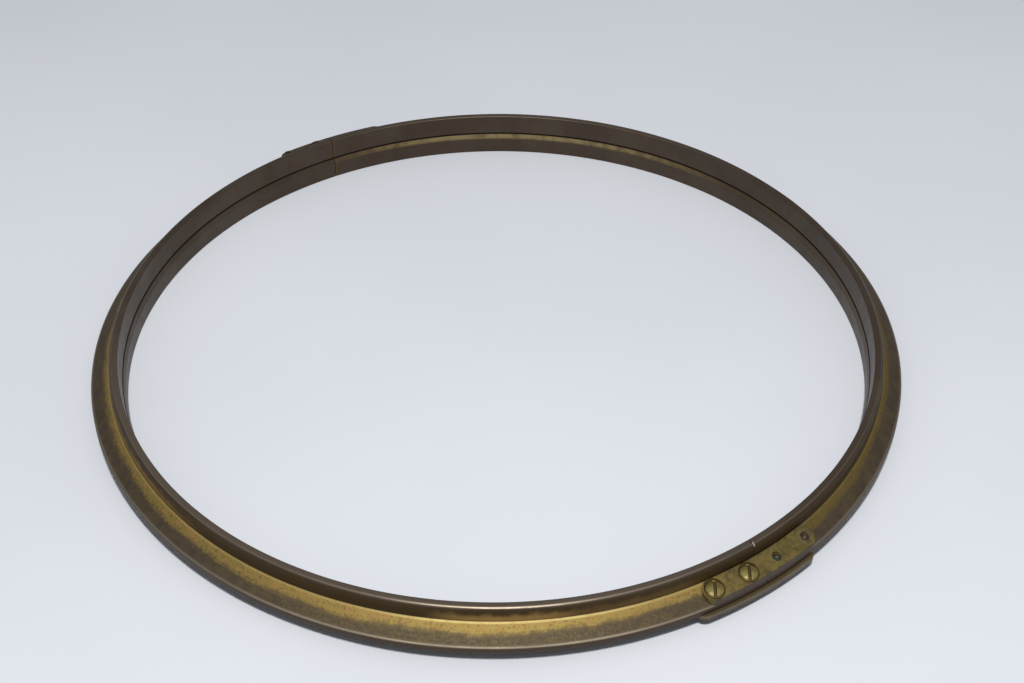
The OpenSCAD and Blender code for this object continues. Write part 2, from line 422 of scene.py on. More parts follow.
def hole_cutters(end):
    """Cutters for the four fastener holes of one joint."""
    return [lathe("hole_" + kind, hole_profile(kind), 64, fastener_place(angle))
            for angle, kind in joint_fasteners(end)]


# ---------------------------------------------------------------- plates and straps

def bar_outline(middle, half, inner_r, outer_r, inset):
    """Plan of a bar bent round the ring, with round ends, drawn in by inset."""
    mid_r = (inner_r + outer_r) / 2
    end_r = (outer_r - inner_r) / 2 - inset
    points = []
    for a in np.linspace(middle - half, middle + half, 61)[:-1]:
        points.append(polar(outer_r - inset, a, 0)[:2])
    for turn in np.linspace(0, 180, 25)[:-1]:
        points.append(end_point(mid_r, middle + half, end_r, middle + half + turn))
    for a in np.linspace(middle + half, middle - half, 61)[:-1]:
        points.append(polar(inner_r + inset, a, 0)[:2])
    for turn in np.linspace(180, 360, 25)[:-1]:
        points.append(end_point(mid_r, middle - half, end_r, middle - half + turn))
    return points


def end_point(mid_r, angle, radius, direction):
    """Point at a radius and direction from the middle of a bar's round end."""
    x, y, _ = polar(mid_r, angle, 0)
    dx, dy, _ = polar(radius, direction, 0)
    return x + dx, y + dy


def plate_outline(end, inset):
    half = arc_angle(END_OFFSET + PLATE_END_OVER, PLATE_MID_R)
    return bar_outline(SPLICE_A[end], half, PLATE_INNER_R, PLATE_OUTER_R, inset)


def strap_outline(end, inset):
    width = STRAP_OUTER_R - STRAP_INNER_R
    half = arc_angle((STRAP_L - width) / 2, STRAP_INNER_R + width / 2)
    return bar_outline(STRAP_A[end], half, STRAP_INNER_R, STRAP_OUTER_R, inset)


def slab(name, outline, top, bottom, top_edge, bottom_edge, gap):
    """Plate between two surfaces of revolution, with both edges rounded."""
    shell = Shell()
    rings = []
    for turn in np.linspace(0, 90, 5):
        inset = top_edge * (1 - math.sin(math.radians(turn)))
        drop = top_edge * (1 - math.cos(math.radians(turn)))
        rings.append(shell.ring((x, y, top(math.hypot(x, y)) - drop) for x, y in outline(inset)))
    for turn in np.linspace(90, 0, 4):
        inset = bottom_edge * (1 - math.sin(math.radians(turn)))
        rise = bottom_edge * (1 - math.cos(math.radians(turn)))
        rings.append(shell.ring((x, y, bottom(math.hypot(x, y)) + rise)
                                for x, y in outline(inset)))
    for a, b in zip(rings, rings[1:]):
        shell.band(a, b)
    shell.fill(rings[0], top, gap)
    shell.fill(rings[-1], bottom, gap, flip=True)
    return new_object(name, shell.mesh(name))


def seat_height(radius):
    """Underside of a splice plate, which follows the flange and stops level past its lip."""
    return flange_height(min(radius, LIP_R)) + PLATE_GAP


def splice_plate(end):
    """Wedge-shaped plate on the flange, countersunk for its screws and rivets."""
    piece = slab(end + "_splice_plate_brass", lambda inset: plate_outline(end, inset),
                 lambda radius: plate_height(radius, SPLICE_A[end]), seat_height,
                 PLATE_EDGE_R, 0.1 * MM, 0.9 * MM)
    cut(piece, hole_cutters(end))
    shade(piece, 38)
    return piece


def backing_strap(end):
    """Strap under the flange, with round ends."""
    piece = slab(end + "_backing_strap_bronze", lambda inset: strap_outline(end, inset),
                 lambda radius: SPIGOT_H - SEAT_GAP, lambda radius: STRAP_BASE_Z,
                 STRAP_EDGE_R, STRAP_EDGE_R, 1.5 * MM)
    cut(piece, hole_cutters(end))
    shade(piece, 38)
    return piece


# ---------------------------------------------------------------- screws and rivets

def screw(node, angle):
    """Raised countersunk slotted screw, with a little wear on its edges."""
    dome_r = (SCREW_HEAD_R ** 2 + HEAD_DOME_H ** 2) / (2 * HEAD_DOME_H)
    dome_a = math.asin(SCREW_HEAD_R / dome_r)
    shank = shank_length(angle)
    profile = [(0, -shank), (SCREW_R - SHANK_CHAMFER, -shank), (SCREW_R, SHANK_CHAMFER - shank)]
    profile += [(SCREW_R, z) for z in np.linspace(-shank + 1 * MM, -3 * MM, 8)]
    profile += [(SCREW_R, SCREW_R - SCREW_HEAD_R - HEAD_RIM_T),
                (SCREW_HEAD_R - 0.05 * MM, -HEAD_RIM_T - 0.05 * MM),
                (SCREW_HEAD_R, -HEAD_RIM_T + 0.03 * MM),
                (SCREW_HEAD_R, -0.08 * MM)]
    for a in np.linspace(dome_a * 0.985, 0, 14):
        profile.append((dome_r * math.sin(a), dome_r * math.cos(a) - dome_r + HEAD_DOME_H))
    piece = lathe(node + "_brass", profile, 96, fastener_place(angle))
    cut(piece, [slot_cutter(piece.matrix_world, REAR_SLOT_A.get(node, 90 - angle))])
    edge = piece.modifiers.new("edge", "BEVEL")
    edge.width = 0.07 * MM
    edge.segments = 2
    edge.limit_method = "ANGLE"
    edge.angle_limit = math.radians(50)
    bake_modifiers(piece)
    shade(piece, 30)
    return piece


def slot_cutter(place, angle):
    """Bar with a round-cornered bottom that cuts a screw's slot."""
    half = SCREW_SLOT_W / 2
    low = HEAD_DOME_H - SCREW_SLOT_DEPTH
    high = HEAD_DOME_H + 1 * MM
    section = rounded([(-half, low, 0.2 * MM), (half, low, 0.2 * MM), (half, high, 0),
                       (-half, high, 0)], 4)
    turn = Matrix.Rotation(math.radians(angle), 4, "Z")
    reach = SCREW_HEAD_R + 1 * MM
    shell = Shell()
    rings = [shell.ring((x, y, z) for y, z in section) for x in (-reach, reach)]
    shell.band(rings[0], rings[1])
    shell.faces.append(tuple(rings[0]))
    shell.faces.append(tuple(reversed(rings[1])))
    return new_object("slot", shell.mesh("slot"), place @ turn)


def end_rivet(node, angle):
    """Rivet with a head filed flush with the plate and a punched ring round its centre."""
    cone = RIVET_HEAD_R - RIVET_R
    shank = shank_length(angle)
    profile = [(0, -shank), (RIVET_R - RIVET_CHAMFER, -shank), (RIVET_R, RIVET_CHAMFER - shank),
               (RIVET_R, -HEAD_RIM_T - cone), (RIVET_HEAD_R, -HEAD_RIM_T),
               (RIVET_HEAD_R, HEAD_ROOM / 2), (0, HEAD_ROOM / 2)]
    punch = [(0, -0.25 * MM), (0.5 * MM, -0.27 * MM), (0.85 * MM, -0.4 * MM),
             (1.1 * MM, -0.62 * MM), (1.4 * MM, -0.7 * MM), (1.7 * MM, -0.6 * MM),
             (1.95 * MM, -0.3 * MM), (2.1 * MM, 0), (2.3 * MM, HEAD_ROOM), (0, HEAD_ROOM)]
    place = fastener_place(angle)
    piece = lathe(node + "_brass", profile, 64, place)
    cut(piece, [plate_lid(angle), lathe("punch", punch, 48, place)])
    shade(piece, 40)
    return piece


def plate_lid(angle):
    """Cutter that fills the space over a splice plate's top near one fastener."""
    inner, outer = WALL_R - 1 * MM, LIP_R + 3 * MM
    section = [(inner, plate_height(inner, angle)), (outer, plate_height(outer, angle)),
               (outer, PLATE_TOP_Z + 2 * HEAD_ROOM), (inner, PLATE_TOP_Z + 2 * HEAD_ROOM)]
    shell = Shell()
    rings = [shell.ring(polar(r, a, z) for r, z in section)
             for a in np.linspace(angle - 2, angle + 2, 17)]
    for a, b in zip(rings, rings[1:]):
        shell.band(a, b)
    shell.faces.append(tuple(rings[0]))
    shell.faces.append(tuple(reversed(rings[-1])))
    return new_object("lid", shell.mesh("lid"))


def inner_rivet(node, angle):
    """Plain pin whose rounded end stands below the plate's top."""
    shank = shank_length(angle)
    profile = [(0, -shank), (RIVET_R - RIVET_CHAMFER, -shank), (RIVET_R, RIVET_CHAMFER - shank),
               (RIVET_R, -RIVET_RECESS_DEPTH - 0.05 * MM)]
    for a in np.linspace(20, 90, 8):
        reach = math.cos(math.radians(a))
        rise = math.sin(math.radians(a))
        profile.append((RIVET_R * reach,
                        -RIVET_RECESS_DEPTH + (RIVET_TIP_Z + RIVET_RECESS_DEPTH) * rise))
    profile[-1] = (0, RIVET_TIP_Z)
    piece = lathe(node + "_brass", profile, 48, fastener_place(angle))
    shade(piece, 40)
    return piece


# ---------------------------------------------------------------- materials

class Finish:
    """Short calls that add linked shader nodes to one material."""

    def __init__(self, name):
        self.material = bpy.data.materials.new(name)
        self.material.use_nodes = True
        self.tree = self.material.node_tree
        self.shader = self.tree.nodes["Principled BSDF"]

    def add(self, kind, inputs, output=0, **settings):
        """A node with its settings and inputs set; returns the output asked for."""
        node = self.tree.nodes.new("ShaderNode" + kind)
        for key, value in settings.items():
            setattr(node, key, value)
        for key, value in inputs.items():
            self.feed(node.inputs[key], value)
        return node.outputs[output]

    def feed(self, socket, value):
        if isinstance(value, bpy.types.NodeSocket):
            self.tree.links.new(value, socket)
        elif socket.type == "RGBA":
            socket.default_value = (*value, 1)
        else:
            socket.default_value = value

    def math(self, operation, *values):
        inputs = dict(enumerate(values))
        return self.add("Math", inputs, operation=operation)

    def vector(self, operation, *values, output=0):
        inputs = dict(enumerate(values))
        return self.add("VectorMath", inputs, output, operation=operation)

    def scaled(self, vector, factor):
        return self.add("VectorMath", {0: vector, "Scale": factor}, operation="SCALE")

    def noise(self, vector, scale, detail=3.0, roughness=0.55):
        inputs = {"Vector": vector, "Scale": scale, "Detail": detail, "Roughness": roughness}
        return self.add("TexNoise", inputs)

    def noise4(self, vector, w, scale, detail=3.0):
        inputs = {"Vector": vector, "W": w, "Scale": scale, "Detail": detail}
        return self.add("TexNoise", inputs, noise_dimensions="4D")

    def step(self, value, low, high, out_low=0.0, out_high=1.0):
        """Smooth step from low to high, mapped to the two outputs."""
        inputs = {0: value, 1: low, 2: high, 3: out_low, 4: out_high}
        return self.add("MapRange", inputs, interpolation_type="SMOOTHSTEP")

    def line(self, value, low, high, out_low=0.0, out_high=1.0):
        inputs = {0: value, 1: low, 2: high, 3: out_low, 4: out_high}
        return self.add("MapRange", inputs)

    def mix(self, factor, a, b):
        node = self.tree.nodes.new("ShaderNodeMix")
        node.data_type = "RGBA"
        self.feed(node.inputs["Factor"], factor)
        self.feed(node.inputs[6], a)
        self.feed(node.inputs[7], b)
        return node.outputs[2]

    def both(self, a, b):
        return self.math("MULTIPLY", a, b)

    def band(self, value, low, high, soft):
        """1 between low and high, falling to 0 over soft on each side."""
        rise = self.step(value, low - soft, low + soft)
        fall = self.step(value, high - soft, high + soft, 1.0, 0.0)
        return self.both(rise, fall)

    def facing(self, direction, angle, reach, soft):
        """1 where the ring's direction is within reach degrees of an angle, fading over soft."""
        near = math.cos(math.radians(max(reach - soft, 0)))
        far = math.cos(math.radians(reach + soft))
        along = self.vector("DOT_PRODUCT", direction, polar(1, angle, 0), output=1)
        return self.step(along, far, near)

    def beside(self, direction, radius, angle):
        """Distance round the ring from an angle, anticlockwise, good within a quarter turn."""
        tangent = polar(1, angle + 90, 0)
        return self.both(radius, self.vector("DOT_PRODUCT", direction, tangent, output=1))

    def finish(self, colour, metallic, roughness, height, distance, strength=1.0, specular=0.25):
        bump = self.add("Bump", {"Height": height, "Distance": distance, "Strength": strength})
        self.feed(self.shader.inputs["Base Color"], colour)
        self.feed(self.shader.inputs["Metallic"], metallic)
        self.feed(self.shader.inputs["Roughness"], roughness)
        self.shader.inputs["Specular IOR Level"].default_value = specular
        self.feed(self.shader.inputs["Normal"], bump)
        return self.material


def ring_place(n):
    """Object coordinates, and the ring's own: distance from the axis, direction and height."""
    xyz = n.add("TexCoord", {}, "Object")
    parts = n.add("SeparateXYZ", {0: xyz}, 0).node.outputs
    flat = n.add("CombineXYZ", {0: parts[0], 1: parts[1], 2: 0.0})
    radius = n.vector("LENGTH", flat, output=1)
    direction = n.vector("NORMALIZE", flat)
    return xyz, radius, direction, parts[2]


def turning_marks(n, radius, direction, height, along, across, detail=3.0):
    """Noise drawn out round the ring, as turning and polishing leave it."""
    around = n.scaled(direction, along)
    lift = n.add("CombineXYZ", {0: 0.0, 1: 0.0, 2: n.math("MULTIPLY", radius, across)})
    place = n.vector("ADD", around, lift)
    return n.noise4(place, n.math("MULTIPLY", height, across), 1.0, detail)


PAINTED_SHADE = (0.026, 0.018, 0.010)
PATINA_WARM = (0.064, 0.045, 0.031)
PATINA_PALE = (0.080, 0.060, 0.043)
PATINA_RED = (0.085, 0.040, 0.018)
WALL_BROWN = (0.058, 0.035, 0.010)
BRIM_BROWN = (0.072, 0.054, 0.036)
BRIM_OLIVE = (0.105, 0.078, 0.044)
WORN_GREY = (0.170, 0.145, 0.112)
RIM_HIGHLIGHT_BROWN = (0.150, 0.118, 0.090)
LIP_RED = (0.066, 0.040, 0.027)
GLINT_CREAM = (0.66, 0.57, 0.44)
JOINT_RUST = (0.150, 0.075, 0.016)
OLIVE = (0.110, 0.080, 0.026)
OLD_BRASS = (0.32, 0.232, 0.070)
ORANGE_BRASS = (0.40, 0.245, 0.085)
HIGHLIGHT_BRASS = (0.56, 0.45, 0.18)
TAN = (0.44, 0.37, 0.26)

PLATE_OLIVE = (0.150, 0.112, 0.034)
PLATE_KHAKI = (0.205, 0.152, 0.044)
PLATE_SHADE = (0.100, 0.074, 0.024)
PLATE_DIRT = (0.085, 0.068, 0.030)
PLATE_ORANGE = (0.165, 0.105, 0.045)
PLATE_FLECK = (0.21, 0.17, 0.065)
SIDE_PURPLE = (0.075, 0.062, 0.060)

STRAP_DARK = (0.105, 0.082, 0.058)
STRAP_PALE = (0.140, 0.110, 0.080)
STRAP_LEDGE = (0.100, 0.074, 0.024)

SCREW_YELLOW = (0.40, 0.32, 0.11)
SCREW_OLIVE = (0.27, 0.22, 0.085)
SCREW_GREEN = (0.22, 0.24, 0.12)
SCREW_RIM_SHADE = (0.075, 0.052, 0.018)
SLOT_BROWN = (0.11, 0.065, 0.022)

RIVET_OLIVE = (0.090, 0.075, 0.038)
RIVET_LINE = (0.050, 0.040, 0.035)
# Rivets: tarnished skin, painted shade in the dark ring, painted highlight on the nub
FLUSH_RIVET = {"skin": (0.185, 0.142, 0.054), "dark": (0.055, 0.043, 0.032),
               "nub": (0.16, 0.13, 0.09)}
SUNK_RIVET = {"skin": (0.050, 0.052, 0.034), "dark": (0.040, 0.045, 0.034),
              "nub": (0.14, 0.13, 0.09)}

PAPER_GREY = (0.76, 0.79, 0.84)
PAPER_WHITE = (0.80, 0.83, 0.88)


def ring_bronze(name, shoulder_brass, flange_dull):
    """Dark patina, with brass on the flange, the shoulder and the worn edges, and painted
    highlights, reflections and shade.

    The two factors say how much brass the shoulder shows, and how dull the flange's brass is.
    """
    n = Finish(name)
    xyz, radius, direction, height = ring_place(n)
    cloud = n.noise(xyz, 28.0, 5.0, 0.6)
    mottle = n.noise(xyz, 190.0, 3.0, 0.55)
    speck = n.noise(xyz, 800.0, 2.0, 0.5)
    marks = turning_marks(n, radius, direction, height, 9.0, 2600.0)
    out = n.math("SUBTRACT", radius, WALL_R)

    colour = n.mix(n.step(cloud, 0.38, 0.62), PATINA_WARM, PATINA_PALE)
    colour = n.mix(n.both(n.step(mottle, 0.54, 0.74), 0.5), colour, PATINA_RED)
    colour = n.mix(n.both(n.step(speck, 0.58, 0.75), 0.3), colour, OLIVE)

    # Flange: brass next to the wall with a soft wavy edge, brown and olive outside it
    on_flange = n.both(n.step(out, 0.0, 0.25 * MM), n.step(height, 9.5 * MM, 10.0 * MM))
    wave = n.math("ADD", n.line(mottle, 0.25, 0.75, -0.8 * MM, 0.8 * MM),
                  n.line(cloud, 0.3, 0.7, -1.0 * MM, 1.0 * MM))
    wave = n.math("ADD", wave, n.line(speck, 0.25, 0.75, -0.6 * MM, 0.6 * MM))
    wave = n.math("ADD", wave, n.line(marks, 0.3, 0.7, -0.5 * MM, 0.5 * MM))
    # The brass band is widest at the front, toward the key light; its extra width there is
    # painted highlight over real brass
    width = n.line(n.facing(direction, 272, 52, 12), 0.0, 1.0, 3.0 * MM, 4.5 * MM)
    past = n.math("SUBTRACT", n.math("ADD", out, wave), width)
    flange_brass = n.both(on_flange, n.step(past, -1.6 * MM, 1.4 * MM, 1.0, 0.0))
    brim = n.mix(n.step(mottle, 0.30, 0.70), BRIM_BROWN, BRIM_OLIVE)
    brim = n.mix(n.step(marks, 0.45, 0.75, 0.0, 0.5), brim, PATINA_PALE)
    # Brass flecks on the outer brim only at the front, toward the key light: painted highlight
    front = n.facing(direction, 268, 18, 22)
    brim = n.mix(n.both(front, n.step(speck, 0.35, 0.70, 0.0, 0.22)), brim, OLD_BRASS)
    brim = n.mix(n.step(out, 8.6 * MM, 9.7 * MM, 0.0, 0.7), brim, WORN_GREY)
    brass = n.mix(n.step(mottle, 0.45, 0.66), OLD_BRASS, ORANGE_BRASS)
    brass = n.mix(n.both(n.step(speck, 0.52, 0.72), 0.6), brass, OLIVE)
    # Painted highlight: a bright brass line next to the wall, strongest at the front
    wall_side_highlight = n.line(n.facing(direction, 272, 9, 12), 0.0, 1.0, 0.4, 1.0)
    wall_side_highlight = n.both(wall_side_highlight, n.band(out, 0.3 * MM, 1.1 * MM, 0.3 * MM))
    brass = n.mix(wall_side_highlight, brass, HIGHLIGHT_BRASS)
    brass = n.mix(flange_dull, brass, OLIVE)
    colour = n.mix(on_flange, colour, brim)
    colour = n.mix(flange_brass, colour, brass)

    # The shoulder under the slot: brass that fades to rust away from the back, made strongest at
    # the back as a painted highlight
    on_shoulder = n.both(n.step(height, LOWER_BAND_H - 0.2 * MM, LOWER_BAND_H + 1.6 * MM),
                         n.step(height, SLOT_Z, SLOT_Z - 0.3 * MM))
    on_shoulder = n.both(on_shoulder, n.step(out, -3.9 * MM, -4.4 * MM))
    brightened = n.line(n.facing(direction, 84, 14, 28), 0.0, 1.0, 0.18, 1.0)
    on_shoulder = n.both(on_shoulder, n.both(brightened, n.step(mottle, 0.30, 0.60, 0.45, 1.0)))
    shoulder = n.both(on_shoulder, shoulder_brass)
    colour = n.mix(shoulder, colour, n.mix(brightened, JOINT_RUST, n.mix(0.3, OLD_BRASS, TAN)))

    # Outer face of the wall: brown, with a painted reflection of the brass flange at its root in
    # a few places
    on_wall = n.both(n.step(out, -0.8 * MM, -0.45 * MM), n.step(out, 0.12 * MM, 0.0, 0.0, 1.0))
    on_wall = n.both(on_wall, n.step(height, FLANGE_ROOT_Z - 0.2 * MM, FLANGE_ROOT_Z))
    colour = n.mix(n.both(on_wall, 0.85), colour, WALL_BROWN)
    brass_reflection = n.math("MAXIMUM", n.facing(direction, 271, 5, 6),
                  n.both(n.facing(direction, 205, 12, 12), 0.8))
    brass_reflection = n.math("MAXIMUM", brass_reflection, n.both(n.facing(direction, 285, 6, 10), 0.25))
    lift = n.math("ADD", height, n.line(mottle, 0.3, 0.7, -1.0 * MM, 1.0 * MM))
    brass_reflection = n.both(brass_reflection, n.step(lift, FLANGE_ROOT_Z + 1.2 * MM, FLANGE_ROOT_Z + 5.0 * MM,
                               1.0, 0.0))
    wall_reflection = n.both(on_wall, brass_reflection)
    colour = n.mix(wall_reflection, colour, ORANGE_BRASS)

    # Flat top of the rim, paler at the front and the back as a painted highlight
    on_top = n.step(height, RING_H - 0.5 * MM, RING_H - 0.15 * MM)
    near = n.math("MAXIMUM", n.facing(direction, 248, 58, 18),
                  n.both(n.facing(direction, 82, 22, 25), 0.5))
    colour = n.mix(n.both(on_top, n.line(near, 0.0, 1.0, 0.10, 0.75)), colour, RIM_HIGHLIGHT_BROWN)

    # Crest of the lip and outer edge of the rim: pale wear, with a painted highlight strongest
    # at the front
    crest = n.both(n.band(out, 9.45 * MM, 10.05 * MM, 0.25 * MM),
                   n.step(height, 9.4 * MM, 9.9 * MM))
    crest = n.both(crest, n.line(n.facing(direction, 267, 20, 14), 0.0, 1.0, 0.20, 0.85))
    rim = n.both(n.band(out, -1.85 * MM, -1.25 * MM, 0.2 * MM),
                 n.step(height, RING_H - 1.2 * MM, RING_H - 0.6 * MM))
    rim = n.both(rim, n.line(n.facing(direction, 269, 6, 9), 0.0, 1.0, 0.2, 0.8))
    worn_edge = n.step(marks, 0.30, 0.60, 0.35, 0.85)
    edges = n.both(n.math("MAXIMUM", crest, rim), worn_edge)
    colour = n.mix(edges, colour, TAN)

    # Red-brown face of the lip
    lip = n.both(n.step(out, 9.9 * MM, 10.1 * MM), n.step(height, 10.4 * MM, 9.9 * MM))
    colour = n.mix(n.both(lip, 0.85), colour, LIP_RED)

    # Marks beside the joint lines: a painted glint on the rim's chamfered edge, and rust down
    # the inner face
    aside = n.beside(direction, radius, FRONT_JOINT_A)
    joint_glint = n.both(n.band(aside, 0.1 * MM, 0.6 * MM, 0.1 * MM),
                  n.facing(direction, FRONT_JOINT_A, 5, 2))
    joint_glint = n.both(joint_glint, n.both(n.band(out, -2.4 * MM, -0.6 * MM, 0.1 * MM),
                               n.step(height, RING_H - 2.4 * MM, RING_H - 2.0 * MM)))
    colour = n.mix(n.both(joint_glint, 0.9), colour, GLINT_CREAM)
    aside = n.beside(direction, radius, REAR_JOINT_A)
    rust = n.both(n.band(aside, -0.8 * MM, -0.1 * MM, 0.15 * MM),
                  n.facing(direction, REAR_JOINT_A, 5, 2))
    rust = n.both(rust, n.step(out, -4.0 * MM, -4.4 * MM))
    colour = n.mix(n.both(rust, 0.7), colour, JOINT_RUST)

    # Painted shade at the root of the flange and in the slot
    root = n.both(n.band(out, -0.2 * MM, 0.2 * MM, 0.15 * MM),
                  n.band(height, FLANGE_ROOT_Z - 0.3 * MM, FLANGE_ROOT_Z + 0.2 * MM, 0.2 * MM))
    groove = n.both(n.band(height, SLOT_Z - 0.15 * MM, SLOT_Z + SLOT_H + 0.05 * MM, 0.1 * MM),
                    n.step(out, -4.0 * MM, -4.4 * MM))
    colour = n.mix(n.both(n.math("MAXIMUM", root, groove), 0.8), colour, PAINTED_SHADE)

    bare = n.math("MAXIMUM", n.math("MAXIMUM", flange_brass, shoulder),
                  n.math("MAXIMUM", wall_reflection, edges))
    metallic = n.line(bare, 0.0, 1.0, 0.50, 0.75)
    roughness = n.math("ADD", n.line(on_flange, 0.0, 1.0, 0.42, 0.62),
                       n.line(mottle, 0.3, 0.7, -0.04, 0.05))
    roughness = n.math("ADD", roughness, n.both(on_wall, 0.08))
    relief = n.math("ADD", n.both(mottle, 0.5), n.both(speck, 0.3))
    relief = n.math("ADD", relief, n.both(marks, 0.25))
    return n.finish(colour, metallic, roughness, relief, 0.05 * MM, 0.7)


def plate_brass(name):
    """Mottled olive tarnish with a purple-grey outer side; the rear plate is dark all over."""
    n = Finish(name)
    xyz, radius, direction, height = ring_place(n)
    cloud = n.noise(xyz, 60.0, 4.0, 0.6)
    mottle = n.noise(xyz, 380.0, 3.0, 0.55)
    speck = n.noise(xyz, 1300.0, 2.0, 0.5)
    patches = n.noise(xyz, 150.0, 3.0, 0.6)
    khaki = n.mix(n.step(cloud, 0.35, 0.65), PLATE_OLIVE, PLATE_KHAKI)
    khaki = n.mix(n.both(n.step(patches, 0.48, 0.64), 0.6), khaki, PLATE_SHADE)
    khaki = n.mix(n.both(n.step(mottle, 0.50, 0.68), 0.75), khaki, PLATE_DIRT)
    khaki = n.mix(n.both(n.step(mottle, 0.46, 0.30), 0.5), khaki, PLATE_ORANGE)
    khaki = n.mix(n.both(n.step(speck, 0.55, 0.72), 0.4), khaki, PLATE_FLECK)
    side = n.step(n.math("ADD", radius, n.line(mottle, 0.3, 0.7, -0.25 * MM, 0.25 * MM)),
                  PLATE_OUTER_R - 0.55 * MM, PLATE_OUTER_R - 0.05 * MM)
    colour = n.mix(n.both(side, 0.85), khaki, SIDE_PURPLE)
    rear = n.facing(direction, SPLICE_A["rear"], 20, 5)
    colour = n.mix(n.both(rear, 0.85), colour, PATINA_WARM)
    # Painted shade along the inner edge, in the gap beside the wall
    edge = n.both(n.step(radius, PLATE_INNER_R + 0.5 * MM, PLATE_INNER_R + 0.1 * MM), 0.5)
    colour = n.mix(edge, colour, PAINTED_SHADE)
    metallic = n.line(side, 0.0, 1.0, 0.5, 0.3)
    roughness = n.line(mottle, 0.25, 0.75, 0.54, 0.66)
    relief = n.math("ADD", n.both(mottle, 0.6), n.both(speck, 0.3))
    return n.finish(colour, metallic, roughness, relief, 0.07 * MM, 0.8)


def strap_bronze(name):
    """Dirty olive ledge, worn pale at its outer edge, over a purple-grey side."""
    n = Finish(name)
    xyz, radius, direction, height = ring_place(n)
    cloud = n.noise(xyz, 70.0, 4.0, 0.6)
    mottle = n.noise(xyz, 420.0, 3.0, 0.55)
    marks = turning_marks(n, radius, direction, height, 25.0, 2600.0)
    colour = n.mix(n.step(cloud, 0.35, 0.65), STRAP_DARK, STRAP_PALE)
    colour = n.mix(n.both(n.step(mottle, 0.52, 0.70), 0.4), colour, PATINA_RED)
    ledge = n.both(n.step(height, SPIGOT_H - 0.3 * MM, SPIGOT_H - 0.1 * MM),
                   n.step(radius, STRAP_OUTER_R - 0.5 * MM, STRAP_OUTER_R - 0.9 * MM))
    colour = n.mix(n.both(ledge, 0.8), colour, STRAP_LEDGE)
    edge = n.both(n.band(height, SPIGOT_H - 0.6 * MM, SPIGOT_H, 0.2 * MM),
                  n.step(radius, STRAP_OUTER_R - 0.8 * MM, STRAP_OUTER_R - 0.4 * MM))
    colour = n.mix(n.both(edge, n.step(marks, 0.3, 0.6, 0.3, 0.8)), colour, WORN_GREY)
    # Painted shade along the bottom of the strap
    low = n.step(height, STRAP_BASE_Z + 0.7 * MM, STRAP_BASE_Z + 0.2 * MM)
    colour = n.mix(n.both(low, 0.8), colour, PAINTED_SHADE)
    roughness = n.line(mottle, 0.25, 0.75, 0.46, 0.60)
    relief = n.math("ADD", n.both(mottle, 0.6), n.both(marks, 0.3))
    return n.finish(colour, 0.35, roughness, relief, 0.06 * MM, 0.8)


def screw_brass(name, tarnish):
    """Rubbed yellow brass, brown in the slot, with painted shade round the rim, dulled by the
    given tarnish.
    """
    n = Finish(name)
    xyz, radius, height = screw_place(n)
    mottle = n.noise(xyz, 520.0, 3.0, 0.55)
    fine = n.noise(n.vector("MULTIPLY", xyz, (1.0, 0.12, 1.0)), 5000.0, 3.0, 0.6)
    crown = n.line(n.both(radius, radius), 0.0, SCREW_HEAD_R ** 2, HEAD_DOME_H, 0.0)
    top = n.step(n.math("SUBTRACT", height, crown), -0.35 * MM, -0.08 * MM)
    rim = n.step(n.math("ADD", radius, n.line(mottle, 0.3, 0.7, -0.15 * MM, 0.15 * MM)),
                 SCREW_HEAD_R - 1.15 * MM, SCREW_HEAD_R - 0.6 * MM)
    colour = n.mix(n.step(mottle, 0.38, 0.66), SCREW_YELLOW, SCREW_OLIVE)
    colour = n.mix(n.both(n.step(mottle, 0.44, 0.30), 0.4), colour, SCREW_GREEN)
    # Painted shade: a dark ring round the head, where the gap round it lies in shadow
    colour = n.mix(n.both(rim, 0.85), colour, SCREW_RIM_SHADE)
    colour = n.mix(n.line(top, 0.0, 1.0, 0.9, 0.0), colour, SLOT_BROWN)
    colour = n.mix(tarnish, colour, PATINA_WARM)
    metallic = n.line(top, 0.0, 1.0, 0.5, 0.8)
    roughness = n.math("ADD", n.line(mottle, 0.25, 0.75, 0.44, 0.54), n.both(rim, 0.1))
    relief = n.math("ADD", n.both(mottle, 0.5), n.both(fine, 0.3))
    return n.finish(colour, metallic, roughness, relief, 0.04 * MM, 0.7)


def screw_place(n):
    """A fastener's own coordinates, distance from its axis and height along it."""
    xyz = n.add("TexCoord", {}, "Object")
    parts = n.add("SeparateXYZ", {0: xyz}, 0).node.outputs
    flat = n.add("CombineXYZ", {0: parts[0], 1: parts[1], 2: 0.0})
    return xyz, n.vector("LENGTH", flat, output=1), parts[2]


def rivet_brass(name, skin, dark, nub):
    """Tarnished rivet: skin outside, a ring of painted shade, and a paler nub at its centre as a
    painted highlight.
    """
    n = Finish(name)
    xyz, radius, height = screw_place(n)
    mottle = n.noise(xyz, 420.0, 3.0, 0.55)
    wave = n.line(mottle, 0.3, 0.7, -0.2 * MM, 0.2 * MM)
    centre = n.step(n.math("ADD", radius, wave), 0.5 * MM, 1.1 * MM, 1.0, 0.0)
    outside = n.step(n.math("ADD", radius, wave), 1.9 * MM, 2.3 * MM)
    skin_colour = n.mix(n.step(mottle, 0.40, 0.62), skin, RIVET_OLIVE)
    line = n.band(radius, RIVET_HEAD_R - 0.3 * MM, RIVET_HEAD_R + 0.1 * MM, 0.1 * MM)
    skin_colour = n.mix(n.both(line, 0.4), skin_colour, RIVET_LINE)
    # The dark ring is painted shade and the pale nub a painted highlight
    colour = n.mix(outside, n.mix(centre, dark, nub), skin_colour)
    roughness = n.line(mottle, 0.25, 0.75, 0.46, 0.60)
    return n.finish(colour, 0.5, roughness, mottle, 0.05 * MM, 0.8)


# ---------------------------------------------------------------- the pieces

def settle(piece, node, body, material):
    """Gives the piece its finish, and puts it in the CAD node's place."""
    piece.data.materials.clear()
    piece.data.materials.append(material)
    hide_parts(node)
    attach(piece, body)


